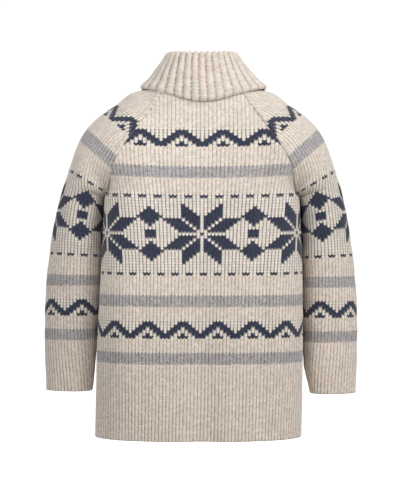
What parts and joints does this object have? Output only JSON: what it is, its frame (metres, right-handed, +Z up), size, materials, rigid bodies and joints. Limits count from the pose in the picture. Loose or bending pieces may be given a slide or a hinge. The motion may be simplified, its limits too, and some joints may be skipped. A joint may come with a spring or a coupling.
{
  "type": "fair isle turtleneck sweater",
  "caption": "Long heavy raglan pullover with a turned down ribbed turtleneck, knitted bands of small motifs and plain stripes, filled out as if worn.",
  "frame": {"origin": "The middle of the wearer's neck at the height of the shoulders' neck points, where the wearer holds the sweater up.", "axes": "+Z is up, +X is the wearer's right, +Y is the wearer's front, and the back, which the picture shows, faces -Y."},
  "size_m": [0.678, 0.2543, 0.8205],
  "materials": {
    "wool_body": "soft matt knitted wool, cream with navy motifs and grey stripes",
    "wool_collar": "soft matt ribbed wool, plain cream"
  },
  "bodies": {
    "root": {"back": "wool_body", "front": "wool_body", "sleeve_left": "wool_body", "sleeve_right": "wool_body", "collar": "wool_collar"}
  },
  "joints": []
}
